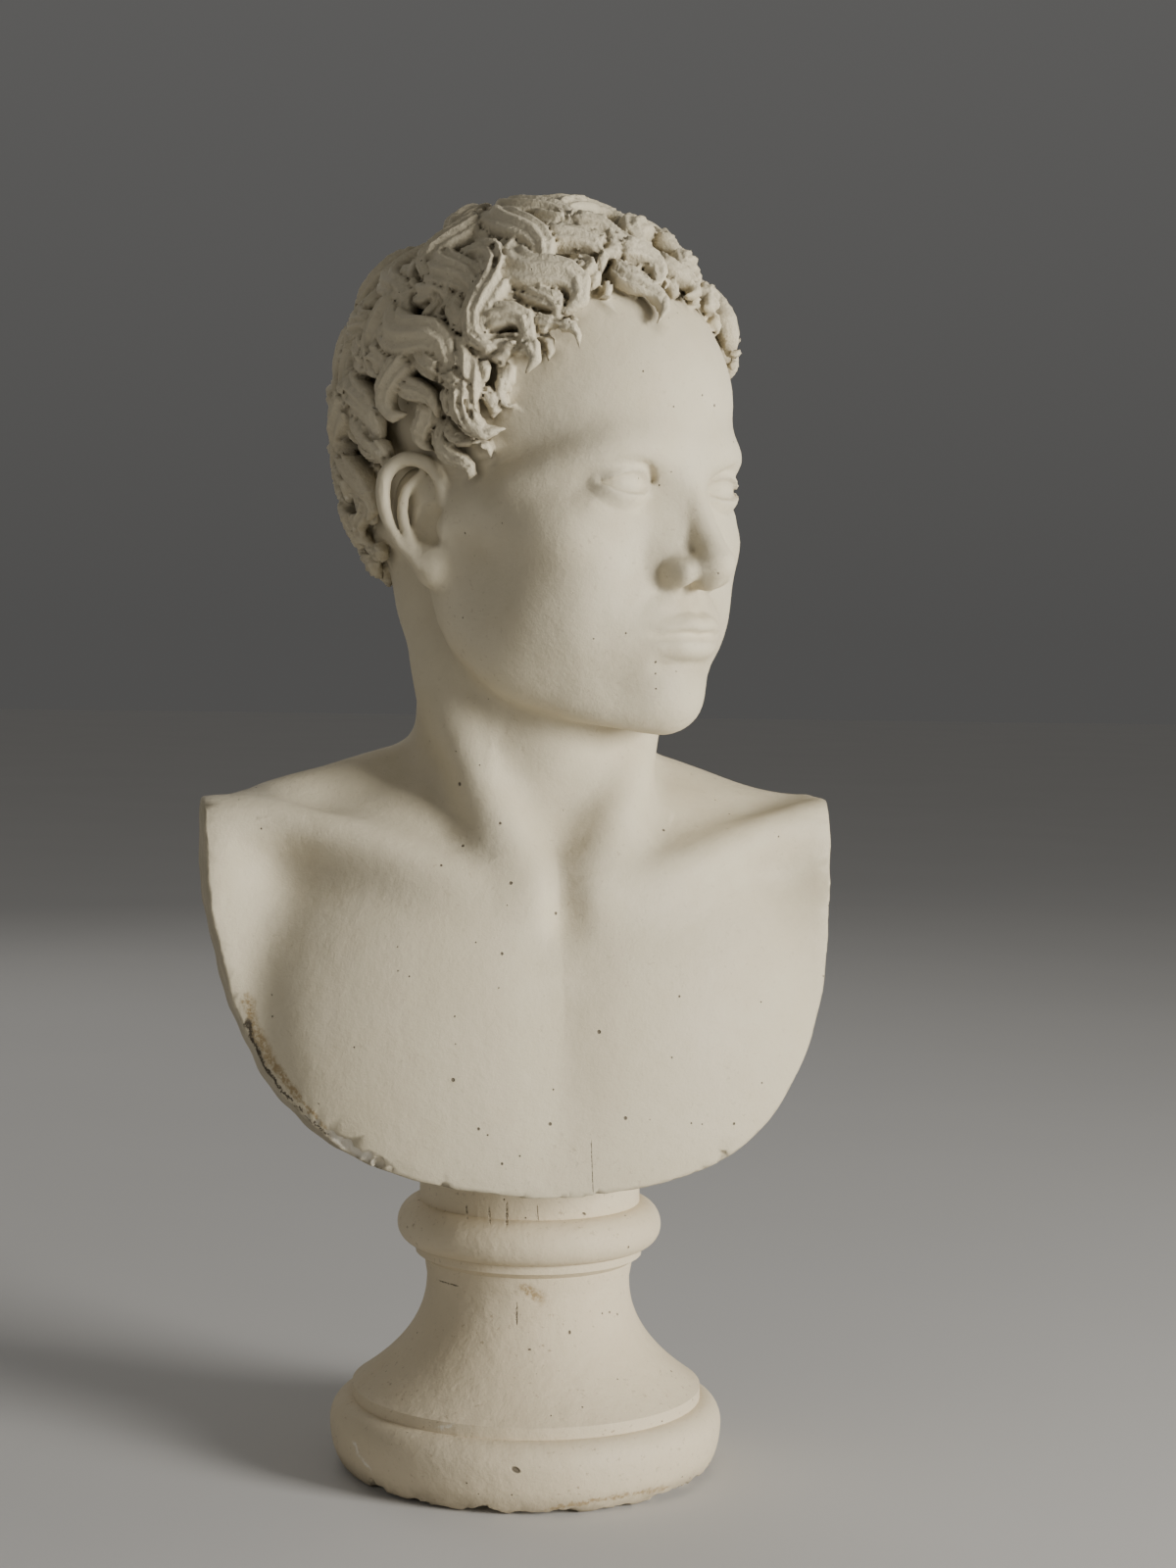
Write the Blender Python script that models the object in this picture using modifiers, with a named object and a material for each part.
"""A plaster cast of a classical bust on its turned socle.

The socle is a profile turned with a Screw modifier.  The bust is built up the way a
modeller builds clay: masses are blended together, cut and creased, and the result is
meshed as a volume and reduced.  Lengths are in metres and +Z is up.  The chest faces -Y.
"""

import math
from concurrent.futures import ThreadPoolExecutor

import bpy
import numpy as np
import openvdb

# Sizes of the socle, in metres
SOCLE_HEIGHT = 0.1567
BASE_RADIUS = 0.1007
BASE_FOOT_RADIUS = 0.0945
BASE_RING_HEIGHT = 0.0360
BASE_WIDEST = 0.0235
STEP_RADIUS = 0.0895
STEP_HEIGHT = 0.0060
WAIST_RADIUS = 0.0520
WAIST_LEVEL = 0.0980
FILLET_RADIUS = 0.0580
FILLET_HEIGHT = 0.0045
CAP_RADIUS = 0.0677
CAP_LEVEL = 0.1145
CAP_HEIGHT = 0.0225
SEAT_RADIUS = 0.0590
SEAT_NECK_RADIUS = 0.0565
SEAT_HEIGHT = 0.0080
COVE = 0.0030
FLARE = 2.2

# Sizes of the bust, in metres
FIGURE_HEIGHT = 0.493
CUT_HALF_WIDTH = 0.158
WALL = 0.040
PILLAR_WIDTH = 0.076
SEAT_GAP = 0.0003

# Turn of the head, in degrees
HEAD_YAW = 36.0

# How finely the solids are drawn
VOXEL = 0.0025
BLOCK = 32
CELL = 4
MARGIN = 1.5
BUST_TRIANGLES = 8200
SOCLE_STEPS = 32

# The figure is set out in units, this many of them from its underside to the top of its hair
FIGURE_UNITS = 493.0
UNIT = FIGURE_HEIGHT / FIGURE_UNITS
HEAD_PLACE = (0.0, -5.0, 226.0)
CUT_MIDDLE = -12.0
CUT_DRIFT = 8.0
CUT_LEVEL = 165.0
CUT_SIDE_CURVE = 4.0
CUT_FOOT_CURVE = 1.8
LOCK_CHANNEL = (1.8, 4.0)
HAIR_SEED = 7
SCALP_MIDDLE = np.array([0.0, 8.0, 150.0])
CROWN_TILT = 18.0
TIERS = 12
TIER_STEP = 12
LOCKS_ROUND = 31

PLASTER = (0.60, 0.56, 0.47, 1.0)
SOCLE_PLASTER = (0.63, 0.58, 0.47, 1.0)
ROUGHNESS = 0.72


def smooth_min(first, second, blend):
    """Join two distance fields with a soft seam."""
    if blend <= 0:
        return np.minimum(first, second)
    overlap = np.maximum(blend - np.abs(first - second), 0) / blend
    return np.minimum(first, second) - overlap * overlap * (blend / 4)


def smooth_max(first, second, blend):
    """Keep what lies in both distance fields, with a soft edge."""
    return -smooth_min(-first, -second, blend)


def turned(angles):
    """A rotation matrix from angles about X, Y and Z in degrees, applied in that order."""
    x, y, z = (math.radians(angle) for angle in angles)
    about_x = np.array([[1, 0, 0], [0, math.cos(x), -math.sin(x)], [0, math.sin(x), math.cos(x)]])
    about_y = np.array([[math.cos(y), 0, math.sin(y)], [0, 1, 0], [-math.sin(y), 0, math.cos(y)]])
    about_z = np.array([[math.cos(z), -math.sin(z), 0], [math.sin(z), math.cos(z), 0], [0, 0, 1]])
    return about_z @ about_y @ about_x


def through(places, spans=4):
    """Points of a smooth curve through the given places."""
    places = np.array(places, float)
    ends = np.vstack([2 * places[0] - places[1], places, 2 * places[-1] - places[-2]])
    points = []
    for a, b, c, d in zip(ends, ends[1:], ends[2:], ends[3:]):
        for t in np.linspace(0, 1, spans, endpoint=False):
            bend = 2 * a - 5 * b + 4 * c - d
            points.append(0.5 * (2 * b + (c - a) * t + bend * t * t + (3 * b - a - 3 * c + d) * t ** 3))
    points.append(places[-1])
    return np.array(points)


class Ball:
    """An ellipsoid of clay."""

    def __init__(self, centre, radii, turn=(0, 0, 0)):
        self.centre = np.array(centre, float)
        self.radii = np.broadcast_to(np.array(radii, float), (3,))
        self.turn = turned(turn)
        self.reach = self.radii.max()

    def distance(self, points):
        local = (points - self.centre.astype(np.float32)) @ self.turn.astype(np.float32)
        near = np.linalg.norm(local / self.radii.astype(np.float32), axis=1)
        slope = np.linalg.norm(local / (self.radii ** 2).astype(np.float32), axis=1)
        return near * (near - 1) / np.maximum(slope, 1e-6)


class Path:
    """Straight spans one after another, and where on them each point lies nearest."""

    def __init__(self, points):
        points = np.array(points, float)
        self.centre = (points.min(0) + points.max(0)) / 2
        self.extent = np.linalg.norm(points - self.centre, axis=1).max()
        self.starts = (points[:-1] - self.centre).astype(np.float32)
        self.spans = (points[1:] - points[:-1]).astype(np.float32)
        self.squares = np.sum(self.spans ** 2, axis=1)

    def nearest(self, points, radii=None):
        """For each point the index of its span, its share of the span and its distance."""
        local = points - self.centre.astype(np.float32)
        dots = local @ self.spans.T - np.sum(self.starts * self.spans, axis=1)
        share = np.clip(dots / self.squares, 0, 1)
        away = np.sum(local ** 2, axis=1)[:, None] - 2 * local @ self.starts.T + np.sum(self.starts ** 2, axis=1)
        away = away - 2 * share * dots + share * share * self.squares
        away = np.sqrt(np.maximum(away, 0))
        if radii is not None:
            away -= radii[:-1] + share * (radii[1:] - radii[:-1])
        index = away.argmin(axis=1)
        row = np.arange(len(points))
        return local, index, share[row, index], away[row, index]


class Bar:
    """A round bar of clay along a smooth curve, with a radius at each place."""

    def __init__(self, places, radii=0.0, spans=4):
        points = through(places, spans)
        radii = np.broadcast_to(np.array(radii, float), (len(places),))
        along = np.linspace(0, len(places) - 1, len(points))
        self.radii = np.interp(along, range(len(places)), radii).astype(np.float32)
        self.path = Path(points)
        self.centre = self.path.centre
        self.reach = self.path.extent + self.radii.max()

    def distance(self, points):
        return self.path.nearest(points, self.radii)[3]


class Lids:
    """The eyelids: a thin cap over the eyeball with an almond opening between two arcs."""

    def __init__(self, centre, radius, half_width, rise, fall):
        self.centre = np.array(centre, float)
        self.radius = radius
        self.reach = radius
        self.half_width = half_width
        self.rise = rise
        self.fall = fall

    def distance(self, points):
        x, y, z = (points - self.centre.astype(np.float32)).T
        upper = (self.half_width ** 2 + self.rise ** 2) / (2 * self.rise)
        lower = (self.half_width ** 2 + self.fall ** 2) / (2 * self.fall)
        opening = np.maximum(np.hypot(x, z - self.rise + upper) - upper,
                             np.hypot(x, z + self.fall - lower) - lower)
        ball = np.sqrt(x * x + y * y + z * z) - self.radius
        return smooth_max(ball, -np.maximum(opening, y), 0.6)


class Outline:
    """The cut of the bust: a rounded U seen from the front, running through from front to back."""

    def __init__(self, half_width):
        self.half_width = half_width
        self.centre = np.zeros(3)
        self.reach = 1e6

    def distance(self, points):
        down = np.maximum(CUT_LEVEL - points[:, 2], 0) / np.float32(CUT_LEVEL + 1)
        middle = CUT_MIDDLE + CUT_DRIFT * down * down
        across = np.abs(points[:, 0] - middle) / np.float32(self.half_width)
        share = (across ** CUT_SIDE_CURVE + down ** CUT_FOOT_CURVE) ** (1 / 3)
        return (share - 1) * self.half_width


class Lock:
    """A flattened lock of hair along a guide, with strands that run together at its tip."""

    def __init__(self, points, normals, width, height, strands, lean, twist, groove=3.2):
        self.path = Path(points)
        normal = normals[:-1] + normals[1:]
        self.normal = (normal / np.linalg.norm(normal, axis=1)[:, None]).astype(np.float32)
        across = np.cross(self.normal, self.path.spans)
        self.across = (across / np.linalg.norm(across, axis=1)[:, None]).astype(np.float32)
        self.width = width
        self.height = height
        self.strands = strands
        self.lean = lean
        self.twist = twist
        self.groove = groove
        self.centre = self.path.centre
        self.reach = self.path.extent + width

    def distance(self, points):
        whole = np.full(len(points), 1e3, np.float32)
        near = np.linalg.norm(points - self.centre.astype(np.float32), axis=1) < self.reach + 14
        if near.any():
            whole[near] = self.body(points[near])
        return whole

    def body(self, points):
        local, index, span_share, _ = self.path.nearest(points)
        away = local - self.path.starts[index] - span_share[:, None] * self.path.spans[index]
        share = (index + span_share) / len(self.path.spans)
        side = np.einsum("ij,ij->i", away, self.across[index])
        rise = np.einsum("ij,ij->i", away, self.normal[index])
        along = np.einsum("ij,ij->i", away, away) - side * side - rise * rise
        swell = np.clip(share / 0.3, 0, 1)
        taper = (1 - share ** 2.4) ** 0.8
        half_width = self.width * (0.62 + 0.38 * swell) * (0.1 + 0.9 * taper)
        half_height = self.height * (0.7 + 0.3 * swell) * (0.35 + 0.65 * taper)
        ends = np.maximum(along, 0) / half_height ** 2
        near = np.sqrt((side / half_width) ** 2 + (rise / half_height) ** 2 + ends)
        slope = np.sqrt((side / half_width ** 2) ** 2 + (rise / half_height ** 2) ** 2 + ends / half_height ** 2)
        body = near * (near - 1) / np.maximum(slope, 1e-4)
        strand = (np.clip(side / half_width, -1, 1) * self.lean + 1) / 2 * self.strands
        across = np.mod(strand + self.twist * (share - 0.5), 1)
        ridge = (0.5 - 0.5 * np.cos(2 * math.pi * across ** 0.8)) ** 0.7
        fade = np.clip(near, 0, 1) * np.clip(half_width / self.width * 1.5, 0, 1)
        return body + self.groove * (1 - ridge) * fade


class Clay:
    """A list of masses, cuts and creases that together give one distance field."""

    def __init__(self, turn=(0, 0, 0), place=(0, 0, 0)):
        self.turn = turned(turn)
        self.place = np.array(place, float)
        self.steps = []

    def add(self, form, blend=0.0, mirror=False):
        self.steps.append(("add", form, blend, mirror))

    def cut(self, form, blend=0.0, mirror=False):
        self.steps.append(("cut", form, blend, mirror))

    def keep(self, form, blend=0.0):
        self.steps.append(("keep", form, blend, False))

    def crease(self, places, width, depth, mirror=False):
        self.steps.append(("crease", Bar(places), (width, depth), mirror))

    def lay(self, form, width, depth):
        self.steps.append(("lay", form, (width, depth), False))

    def local(self, points):
        return (points - self.place.astype(np.float32)) @ self.turn.astype(np.float32)

    def field(self, points, size=None, field=None):
        """The distance at each point; with size, forms further than that from the middle are left out."""
        points = self.local(points)
        halved = points.copy()
        halved[:, 0] = np.abs(halved[:, 0])
        middle = (points.min(0) + points.max(0)) / 2
        folded = np.array([abs(middle[0]), middle[1], middle[2]])
        if field is None:
            field = np.full(len(points), 1000.0, np.float32)
        scalp = field
        for kind, form, amount, mirror in self.steps:
            soft = 3 * amount[0] if kind in ("crease", "lay") else amount + 12
            where = folded if mirror else middle
            if size is not None and np.linalg.norm(where - form.centre) > form.reach + size + soft:
                continue
            distance = form.distance(halved if mirror else points)
            if kind == "add":
                field = smooth_min(field, distance, amount)
            elif kind == "cut":
                field = smooth_max(field, -distance, amount)
            elif kind == "keep":
                field = smooth_max(field, distance, amount)
            elif kind == "lay":
                width, depth = amount
                field = field + depth * np.exp(-(np.maximum(distance, 0) / width) ** 2)
                field = np.minimum(np.minimum(field, distance), scalp)
            else:
                width, depth = amount
                field = field + depth * np.exp(-(np.maximum(distance, 0) / width) ** 2)
        return field


def head_masses(clay):
    """The skull, cheekbones, jaw and chin."""
    clay.add(Ball((0, 4, 158), (77, 101, 87)))
    clay.add(Ball((0, -46, 158), (58, 55, 50)), 20)
    clay.add(Ball((0, -16, 100), (65, 68, 54)), 20)
    clay.add(Ball((0, -47, 88), (55, 50, 56)), 22)
    clay.add(Ball((0, -40, 50), (50, 54, 42)), 18)
    clay.add(Ball((43, -60, 90), (22, 24, 19), (0, -12, 28)), 24, mirror=True)
    clay.add(Bar([(54, -46, 97), (64, -22, 99), (68, 2, 98)], 6), 24, mirror=True)
    clay.add(Bar([(58, 2, 78), (55, -8, 47), (43, -38, 24), (22, -70, 13), (0, -82, 12)],
                 [15, 15, 14, 13, 13]), 22, mirror=True)
    clay.add(Ball((42, -28, 54), (21, 34, 32), (0, 0, 25)), 20, mirror=True)
    clay.add(Ball((34, -62, 56), (22, 24, 28)), 20, mirror=True)
    clay.add(Ball((0, -87, 16), (18, 14, 15)), 16)
    clay.add(Ball((0, -76, 46), (32, 30, 26)), 16)


def eyes(clay):
    """The brow, sockets, blank eyeballs and lids."""
    clay.cut(Ball((36, -112, 117), (20, 22, 10), (0, 6, -14)), 13, mirror=True)
    clay.cut(Ball((19, -107, 113), (7, 12, 11)), 9, mirror=True)
    clay.add(Bar([(7, -94, 130), (22, -94.5, 133), (42, -86, 132), (56, -68, 125), (66, -48, 117)],
                 [6, 6.5, 6, 4.5, 1.5]), 14, mirror=True)
    clay.add(Ball((33, -80, 116), 14.4), 3, mirror=True)
    clay.add(Lids((33, -80, 116), 16.2, 15.5, 6.2, 4.6), 2.5, mirror=True)
    clay.crease([(18, -92, 119), (25, -96, 124.5), (34, -97, 126.5), (44, -93, 124), (50, -86, 118.5)],
                1.7, 1.8, mirror=True)
    clay.crease([(22, -92, 107), (33, -94, 104), (44, -89, 106)], 3.5, 1.0, mirror=True)


def nose(clay):
    """The bridge, tip, wings and nostrils."""
    clay.add(Bar([(0, -92, 131), (0, -99, 115), (0, -108, 98), (0, -118, 81)], [9, 7.4, 7.6, 8.4]), 10)
    clay.add(Bar([(5, -87, 120), (8, -91, 104), (11, -97, 82)], [8, 9, 10]), 10, mirror=True)
    clay.add(Ball((0, -117, 78), (9.0, 8.6, 8.0)), 9)
    clay.add(Ball((12.4, -105, 74.5), (6.2, 11, 7.2), (0, 0, 16)), 8, mirror=True)
    clay.add(Ball((0, -109, 71), (5, 10, 5)), 5)
    clay.cut(Ball((7.0, -108, 66.5), (3.4, 6.2, 4.0), (20, 0, 10)), 2, mirror=True)
    clay.crease([(18.5, -103, 82), (20.5, -99, 74), (18, -98, 68)], 2.4, 1.3, mirror=True)


def mouth(clay):
    """The lips, closed and calm, with the furrow below them."""
    clay.crease([(0, -107, 64), (0, -109, 54)], 3.2, 1.6)
    clay.add(Bar([(0, -105.5, 49.0), (5, -106, 50.2), (12, -102.5, 48.8), (19, -96.5, 46.6), (24, -90, 45)],
                 [4.8, 4.8, 4.4, 3.4, 1.8]), 4, mirror=True)
    clay.add(Bar([(0, -103.5, 39.6), (8, -102.5, 39.8), (16, -97, 41.2), (22, -91, 43)],
                 [6.0, 5.8, 4.4, 2.2]), 4, mirror=True)
    clay.cut(Bar([(0, -111, 44.4), (6, -110, 45.2), (13, -105, 44.9), (20, -98, 44.4), (25, -93, 43.9)],
                 [1.6, 1.6, 1.4, 1.2, 0.6]), 1.6, mirror=True)
    clay.crease([(24, -93, 45), (27, -91, 42)], 2.6, 1.6, mirror=True)
    clay.crease([(0, -99, 29), (10, -97, 29.5), (18, -92, 32)], 5, 3.2, mirror=True)
    clay.crease([(20, -98, 66), (26, -93, 56), (31, -87, 45)], 4, 0.9, mirror=True)


def ears(clay):
    """Both ears, set out from the middle of the right one and mirrored."""
    middle = np.array([74.5, 5.0, 98.0])
    lean = turned((-10, 0, 0)) @ turned((0, 0, -26))

    def place(*local):
        return middle + lean @ np.array(local, float)

    clay.add(Ball(place(-2, 4, 0), (5, 15, 27), (-10, 0, -26)), 6, mirror=True)
    clay.add(Bar([place(3, -8, 2), place(5, -11, 14), place(6, -6, 26), place(7, 6, 31),
                  place(8, 17, 24), place(8, 19, 8), place(6, 14, -8), place(4, 6, -20)],
                 [2.4, 3.2, 3.6, 3.8, 3.8, 3.4, 3.0, 2.6]), 2.5, mirror=True)
    clay.cut(Ball(place(7, 7, 9), (5.5, 9.5, 17)), 2, mirror=True)
    clay.add(Bar([place(3, 0, 23), place(5, 8, 16), place(5.5, 11, 3), place(5, 7, -12)],
                 [2.0, 2.6, 2.8, 2.4]), 2.5, mirror=True)
    clay.cut(Ball(place(6, -2, -3), (8, 8.5, 12)), 2.5, mirror=True)
    clay.add(Ball(place(4, -9.5, -5), (4, 4, 6.5)), 3, mirror=True)
    clay.add(Ball(place(3, 0, -24), (4.5, 7.5, 8)), 4, mirror=True)


def chest(clay):
    """The chest and shoulders, scooped out behind so that the cast is a shell."""
    clay.add(Ball((0, 12, 66), (176, 96, 132)))
    clay.add(Ball((0, -28, 20), (156, 74, 110)), 30)
    clay.add(Ball((66, -42, 78), (90, 46, 70), (0, 12, 12)), 34, mirror=True)
    clay.add(Ball((-164, 2, 98), (46, 54, 84)), 22)
    clay.add(Ball((160, 2, 108), (46, 52, 80)), 34)
    clay.cut(Ball((0, 128, 56), (260, 200 - WALL / UNIT, 180)), 10)


def neck_and_shoulders(clay):
    """The neck, the slope of the shoulders, the upper back and the collar bones."""
    clay.add(Ball((0, 6, 164), (140, 56, 34)), 26)
    clay.add(Bar([(-46, 26, 194), (-90, 18, 181), (-128, 10, 171), (-162, 6, 150)], [20, 22, 22, 18]), 20)
    clay.add(Bar([(46, 26, 186), (84, 20, 172), (124, 12, 161), (180, 4, 149)], [20, 22, 23, 24]), 20)
    clay.add(Ball((0, 40, 166), (112, 42, 44)), 26)
    clay.add(Bar([(0, 14, 176), (-2, 8, 236), (-2, 8, 290)], [62, 59, 57]), 14)
    clay.add(Bar([(16, -66, 138), (52, -66, 150), (92, -50, 166), (132, -32, 176), (170, -20, 172)],
                 [6, 5, 5, 6, 8]), 26, mirror=True)
    clay.crease([(56, -54, 176), (84, -42, 188), (110, -28, 192)], 20, 3, mirror=True)
    clay.crease([(0, -92, 128), (0, -100, 60), (0, -104, 20)], 18, 1.6)
    clay.crease([(2, -78, 146), (2, -84, 132)], 9, 5)
    clay.crease([(-150, -55, 176), (-149, -57, 136), (-144, -62, 90), (-132, -66, 50)], 14, 3)
    clay.crease([(20, -84, 124), (60, -88, 134), (104, -74, 148)], 16, 2, mirror=True)


def neck_muscles(clay):
    """The two long muscles that run from behind the ears to the pit of the neck."""
    clay.add(Bar([(-54, 22, 290), (-50, -8, 252), (-36, -42, 200), (-14, -68, 146)], [11, 12, 11, 8]), 20)
    clay.add(Bar([(52, 22, 280), (48, -8, 236), (36, -42, 190), (18, -67, 146)], [10, 11, 10, 8]), 20)
    clay.add(Ball((6, -38, 222), (20, 18, 26)), 22)


def hair_bed(clay):
    """The mass that the locks lie on."""
    clay.add(Ball((0, 4, 166), (80, 96, 84)), 6)
    clay.add(Ball((0, 54, 112), (60, 44, 56)), 12)
    clay.add(Ball((0, 42, 66), (50, 38, 40)), 12)


def hairline(azimuth):
    """The lowest elevation, in degrees, at which a lock may start at an azimuth from the face."""
    bearings = [0, 30, 50, 66, 80, 90, 106, 118, 132, 180]
    return np.interp(abs(azimuth), bearings, [45, 41, 29, 9, -8, 12, 12, -14, -34, -40])


def slope_of(field, points):
    """The outward direction of a field at each point."""
    step = 1.5
    axes = np.eye(3) * step
    rise = np.stack([field(points + axis) - field(points - axis) for axis in axes], 1)
    return rise / np.linalg.norm(rise, axis=1)[:, None]


def settled(field, points):
    """The points moved onto the surface of a field."""
    for _ in range(4):
        points = points - field(points)[:, None] * slope_of(field, points)
    return points


def grow(field, roots, headings, lengths, curls, steps=9):
    """Guides that run over the scalp, turning as they go: an array for each step."""
    crown = np.array([0.0, 40.0, 244.0])
    place = settled(field, roots)
    guide = []
    normals = []
    for step in range(steps + 1):
        share = step / steps
        normal = slope_of(field, place)
        guide.append(place)
        normals.append(normal)
        away = place - crown
        away -= normal * np.sum(away * normal, axis=1)[:, None]
        away /= np.linalg.norm(away, axis=1)[:, None]
        side = np.cross(normal, away)
        wave = math.sin(2 * math.pi * (0.8 * share - 0.15)) - 0.9 * share ** 4
        angle = headings + curls * wave
        heading = np.cos(angle)[:, None] * away + np.sin(angle)[:, None] * side
        place = settled(field, place + heading * (lengths / steps)[:, None])
    return np.stack(guide, 1), np.stack(normals, 1)


def toward(azimuth, elevation):
    """A direction from an azimuth, counted from the face towards +X, and an elevation."""
    a, e = math.radians(azimuth), math.radians(elevation)
    return np.array([math.cos(e) * math.sin(a), -math.cos(e) * math.cos(a), math.sin(e)])


def bend_at(azimuth, index):
    """Which way a lock curls: to the face at the sides, with every fourth the other way."""
    if abs(azimuth) > 125:
        return 1 if index // 2 % 2 else -1
    forward = 1 if azimuth < 0 else -1
    return -forward if index % 4 == 3 else forward


def fringe(chance):
    """Roots of the locks that make the hairline round the face, with the bend, lift and size of each."""
    for index, azimuth in enumerate(range(-84, 85, 7)):
        direction = toward(azimuth + chance.uniform(-2, 2), hairline(azimuth) + chance.uniform(-2, 3))
        yield direction, bend_at(azimuth, index), 0.0, chance.uniform(0.45, 0.62)


def tiers(chance, locks_round):
    """Roots of locks in rings around the crown, with the bend, lift and size of each."""
    tilt = turned((-CROWN_TILT, 0, 0))
    for tier in range(TIERS):
        polar = 146 - TIER_STEP * tier
        size = np.interp(polar, [10, 40, 75, 100, 146], [1.1, 1.35, 1.15, 0.95, 0.75])
        count = max(4, round(locks_round * math.sin(math.radians(polar)) / size))
        for index in range(count):
            around = (index + 0.5 * (tier % 2)) * 360 / count + chance.uniform(-5, 5)
            direction = tilt @ toward(around, 90 - polar + chance.uniform(-4, 4))
            azimuth = math.degrees(math.atan2(direction[0], -direction[1]))
            above = math.degrees(math.asin(direction[2])) - hairline(azimuth)
            if above > 0:
                lift = np.interp(polar, [0, 60, 110], [0, 2, 0]) + chance.uniform(-1.5, 3)
                if polar < 75:
                    lift += 4 * max(0, -direction[0])
                share = np.interp(above, [0, 30], [0.6, 1])
                yield direction, bend_at(azimuth, index + tier), lift, size * share


def lay_locks(clay, scalp, chance, plan, length, width, height, sink):
    """Grow a lock from each planned root and lay it over those before it."""
    count = len(plan)
    roots = np.array([SCALP_MIDDLE + 110 * root[0] for root in plan])
    bends = np.array([root[1] for root in plan])
    sizes = np.array([root[3] for root in plan])
    headings = np.radians(chance.uniform(-20, 20, count))
    lengths = length * sizes * chance.uniform(0.82, 1.2, count)
    curls = bends * np.radians(chance.uniform(42, 78, count))
    widths = width * sizes * chance.uniform(0.8, 1.25, count)
    heights = height * np.sqrt(sizes) * chance.uniform(0.9, 1.12, count)
    twists = chance.uniform(-0.5, 0.5, count)
    guides, normals = grow(scalp.field, roots, headings, lengths, curls)
    share = np.linspace(0, 1, guides.shape[1])
    lift = 1.0 + 6.0 * np.sin(np.pi * share ** 1.3 * 0.8) - sink
    for index, (_, _, pile, size) in enumerate(plan):
        line = guides[index] + normals[index] * (lift * min(size, 1) + pile)[:, None]
        strands = 2 + index % 2 + round(size)
        lock = Lock(line, normals[index], widths[index], heights[index], strands, bends[index], twists[index])
        clay.lay(lock, *LOCK_CHANNEL)


def hair(scalp):
    """A bed of short locks, then the fringe, then tiers laid from the nape up to the crown."""
    clay = Clay(head_turn(), HEAD_PLACE)
    chance = np.random.default_rng(HAIR_SEED)
    lay_locks(clay, scalp, chance, list(tiers(chance, 0.8 * LOCKS_ROUND)), 36, 9.5, 6.5, 2.5)
    plan = list(fringe(chance)) + list(tiers(chance, LOCKS_ROUND))
    lay_locks(clay, scalp, chance, plan, 54, 9.4, 8.6, 0)
    return clay


def head_turn():
    return (0.0, 0.0, HEAD_YAW)


def figure():
    """The whole figure in figure units, its underside at zero."""
    body = Clay()
    chest(body)
    neck_and_shoulders(body)
    neck_muscles(body)
    foot = SEAT_RADIUS / UNIT - 1
    body.add(Ball((0, 0, 0), (foot, foot, 16)), 6)
    body.add(Bar([(0, 10, -40), (0, 16, 150)], PILLAR_WIDTH / UNIT / 2), 14)
    body.keep(Outline(CUT_HALF_WIDTH / UNIT), 2.5)
    head = Clay(head_turn(), HEAD_PLACE)
    head_masses(head)
    eyes(head)
    nose(head)
    mouth(head)
    hair_bed(head)
    ears(head)
    scalp = Clay()
    head_masses(scalp)
    hair_bed(scalp)
    scalp.add(Bar([(0, 24, 70), (0, 22, -40)], 58), 14)
    locks = hair(scalp)

    def field(points, size=None):
        whole = smooth_min(body.field(points, size), head.field(points, size), 12)
        whole = locks.field(points, size, whole)
        return np.maximum(whole, -points[:, 2])

    return field


def sample(field, low, voxel, values, corner):
    """Fill one block of the grid, drawing only the small cells of it that the surface may cross."""
    cells = BLOCK // CELL
    steps = np.stack(np.meshgrid(*[np.arange(cells) * CELL] * 3, indexing="ij"), -1).reshape(-1, 3)
    grain = np.stack(np.meshgrid(*[np.arange(CELL)] * 3, indexing="ij"), -1).reshape(-1, 3)
    size = BLOCK * voxel * math.sqrt(3) / 2
    limit = 3 * voxel
    starts = corner + steps
    window = tuple(slice(first, first + BLOCK) for first in corner)
    block = values[window]
    middle = low + voxel * (corner + (BLOCK - 1) / 2)
    centre = float(field(middle[None].astype(np.float32), size)[0])
    if abs(centre) > size * MARGIN:
        block[:] = math.copysign(limit, centre)
        return
    middles = low + voxel * (starts + (CELL - 1) / 2)
    near = field(middles.astype(np.float32), size)
    signs = np.copysign(limit, near).reshape(cells, cells, cells)
    block[:] = signs.repeat(CELL, 0).repeat(CELL, 1).repeat(CELL, 2)
    crossed = np.abs(near) < CELL * voxel * math.sqrt(3) / 2 * MARGIN
    if not crossed.any():
        return
    places = (starts[crossed][:, None] + grain[None]).reshape(-1, 3)
    drawn = field((low + voxel * places).astype(np.float32), size)
    values[places[:, 0], places[:, 1], places[:, 2]] = np.clip(drawn, -limit, limit)


def mesh_of(field, low, high, voxel):
    """Sample a field near its surface and mesh it: its points and its four-sided faces."""
    low = np.array(low, float)
    blocks = np.ceil((np.array(high, float) - low) / voxel / BLOCK).astype(int)
    values = np.full(blocks * BLOCK, 3 * voxel, np.float32)
    corners = [np.array(index) * BLOCK for index in np.ndindex(*blocks)]
    with ThreadPoolExecutor(4) as pool:
        list(pool.map(lambda corner: sample(field, low, voxel, values, corner), corners))
    grid = openvdb.FloatGrid(3 * voxel)
    grid.copyFromArray(values)
    points, quads = grid.convertToQuads(isovalue=0.0)
    return points * voxel + low, quads


def outer_skin(points, quads):
    """The largest connected skin alone, without crumbs and closed pockets."""
    label = np.arange(len(points))
    while True:
        lowest = label[quads].min(axis=1)
        spread = label.copy()
        for column in quads.T:
            np.minimum.at(spread, column, lowest)
        spread = spread[spread]
        if np.array_equal(spread, label):
            break
        label = spread
    main_label = np.bincount(label).argmax()
    kept = np.flatnonzero(label == main_label)
    number = np.full(len(points), -1)
    number[kept] = np.arange(len(kept))
    return points[kept], number[quads[label[quads[:, 0]] == main_label]]


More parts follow.
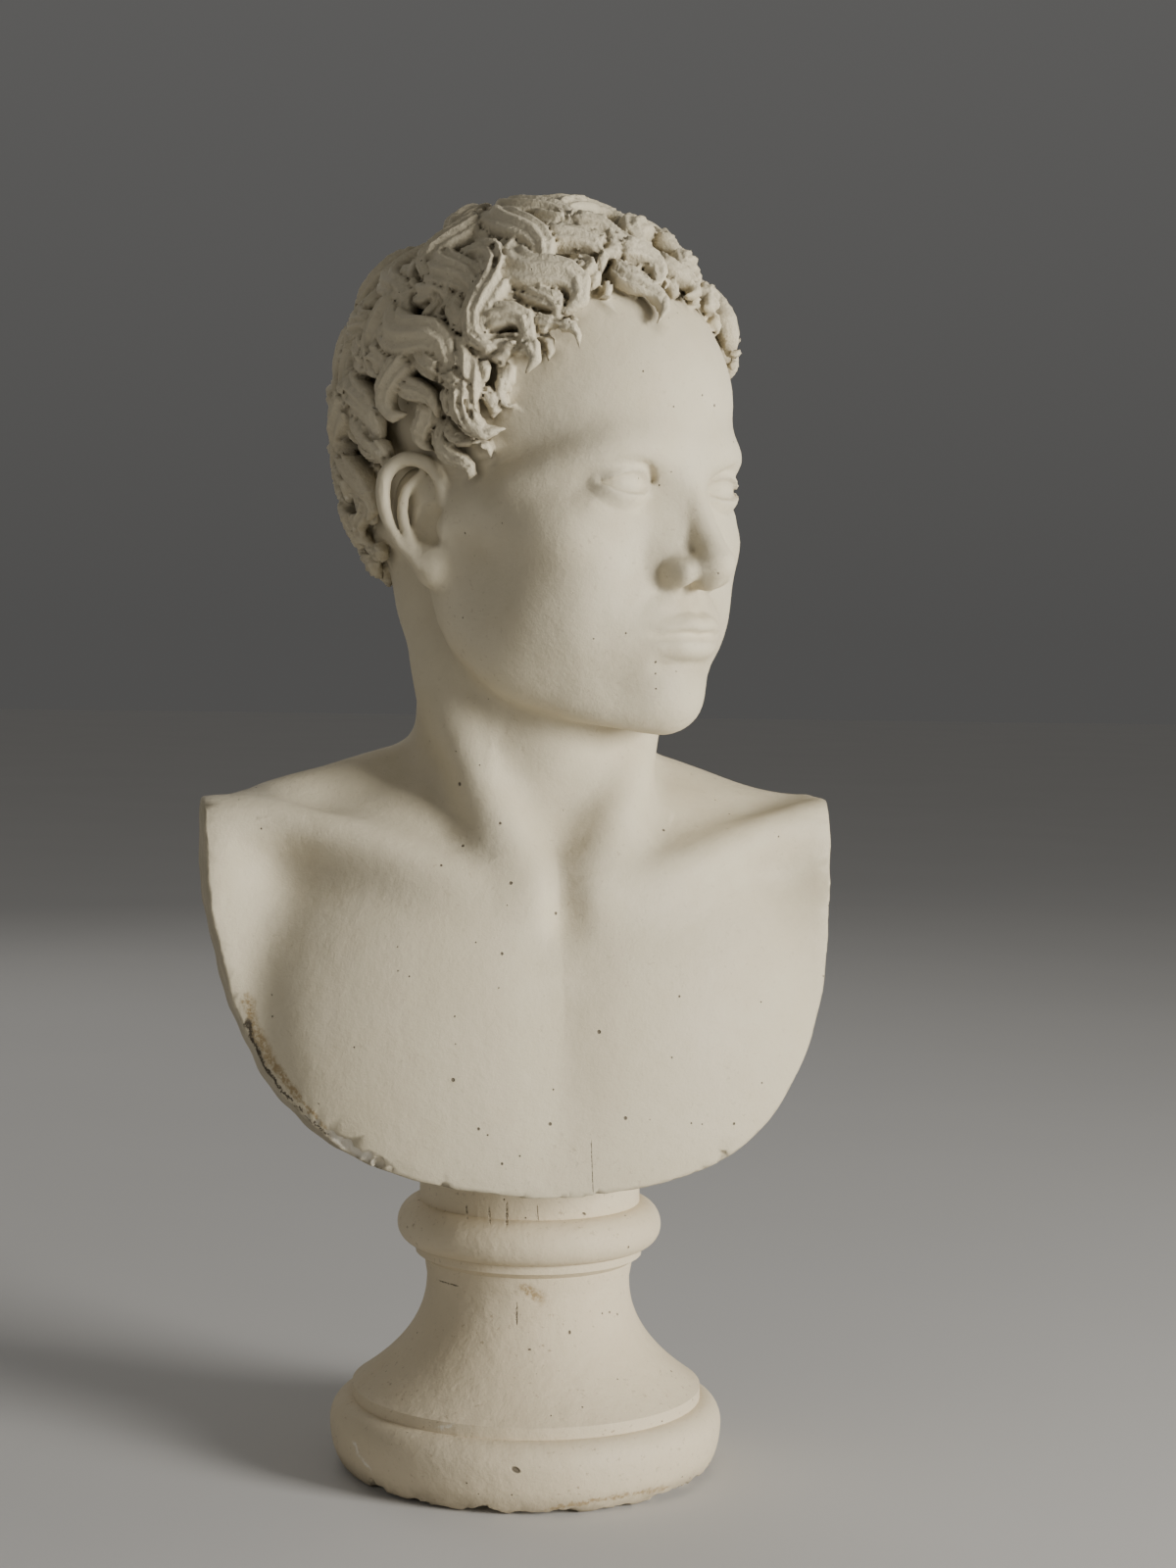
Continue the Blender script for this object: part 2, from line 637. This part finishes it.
def plaster(name, colour):
    """A matt plaster material."""
    material = bpy.data.materials.new(name)
    material.use_nodes = True
    shader = material.node_tree.nodes["Principled BSDF"]
    shader.inputs["Base Color"].default_value = colour
    shader.inputs["Roughness"].default_value = ROUGHNESS
    shader.inputs["Metallic"].default_value = 0.0
    return material


def ring(start, end, widest, level, count=7):
    """A half-round moulding from a start to an end, both (radius, height), bulging at a level."""
    points = []
    for step in range(1, count):
        turn = math.pi * step / count
        if turn < math.pi / 2:
            radius = start[0] + (widest - start[0]) * math.sin(turn)
            points.append((radius, level + (start[1] - level) * math.cos(turn)))
        else:
            radius = end[0] + (widest - end[0]) * math.sin(turn)
            points.append((radius, level - (level - end[1]) * -math.cos(turn)))
    return [start] + points + [end]


def socle_profile():
    """Half the outline of the socle, from the middle of its seat down to the middle of its foot."""
    cap_top = CAP_LEVEL + CAP_HEIGHT
    fillet_foot = CAP_LEVEL - FILLET_HEIGHT
    step_top = BASE_RING_HEIGHT + STEP_HEIGHT
    profile = [(0, SOCLE_HEIGHT), (SEAT_RADIUS, SOCLE_HEIGHT)]
    profile += [(SEAT_NECK_RADIUS, SOCLE_HEIGHT - SEAT_HEIGHT)]
    profile += ring((SEAT_NECK_RADIUS, cap_top), (FILLET_RADIUS, CAP_LEVEL), CAP_RADIUS, CAP_LEVEL + CAP_HEIGHT * 0.46)
    profile += [(FILLET_RADIUS, fillet_foot)]
    profile += [(WAIST_RADIUS + COVE / 2, fillet_foot - COVE), (WAIST_RADIUS, WAIST_LEVEL)]
    for step in range(1, 7):
        share = step / 6
        radius = WAIST_RADIUS + (STEP_RADIUS - WAIST_RADIUS) * share ** FLARE
        profile.append((radius, WAIST_LEVEL + (step_top - WAIST_LEVEL) * share))
    profile += ring((STEP_RADIUS, BASE_RING_HEIGHT), (BASE_FOOT_RADIUS, 0), BASE_RADIUS, BASE_WIDEST)
    return profile + [(0, 0)]


def make_socle(collection):
    """The turned socle."""
    profile = [(radius, 0, height) for radius, height in socle_profile()]
    edges = [(index, index + 1) for index in range(len(profile) - 1)]
    mesh = bpy.data.meshes.new("socle")
    mesh.from_pydata(profile, edges, [])
    mesh.materials.append(plaster("socle plaster", SOCLE_PLASTER))
    socle = bpy.data.objects.new("socle", mesh)
    collection.objects.link(socle)
    turn = socle.modifiers.new("turn", "SCREW")
    turn.axis = "Z"
    turn.steps = SOCLE_STEPS
    turn.render_steps = SOCLE_STEPS
    turn.use_merge_vertices = True
    turn.merge_threshold = 0.0001
    return socle


def make_bust(collection):
    """The figure, meshed from its clay and reduced to its budget."""
    low = (-175, -175, -6)
    high = (175, 175, FIGURE_UNITS + 15)
    points, quads = mesh_of(figure(), low, high, VOXEL / UNIT)
    points *= UNIT
    points[np.abs(points[:, 2]) < VOXEL / 2, 2] = 0
    points, quads = outer_skin(points, quads)
    mesh = bpy.data.meshes.new("bust")
    mesh.from_pydata(points, [], quads)
    mesh.materials.append(plaster("bust plaster", PLASTER))
    bust = bpy.data.objects.new("bust", mesh)
    bust.location.z = SOCLE_HEIGHT + SEAT_GAP
    collection.objects.link(bust)
    reduce = bust.modifiers.new("reduce", "DECIMATE")
    reduce.ratio = BUST_TRIANGLES / (2 * len(mesh.polygons))
    reduce.use_collapse_triangulate = True
    return bust


def main():
    for item in list(bpy.data.objects):
        bpy.data.objects.remove(item)
    collection = bpy.data.collections.new("plaster bust")
    bpy.context.scene.collection.children.link(collection)
    make_socle(collection)
    make_bust(collection)


main()
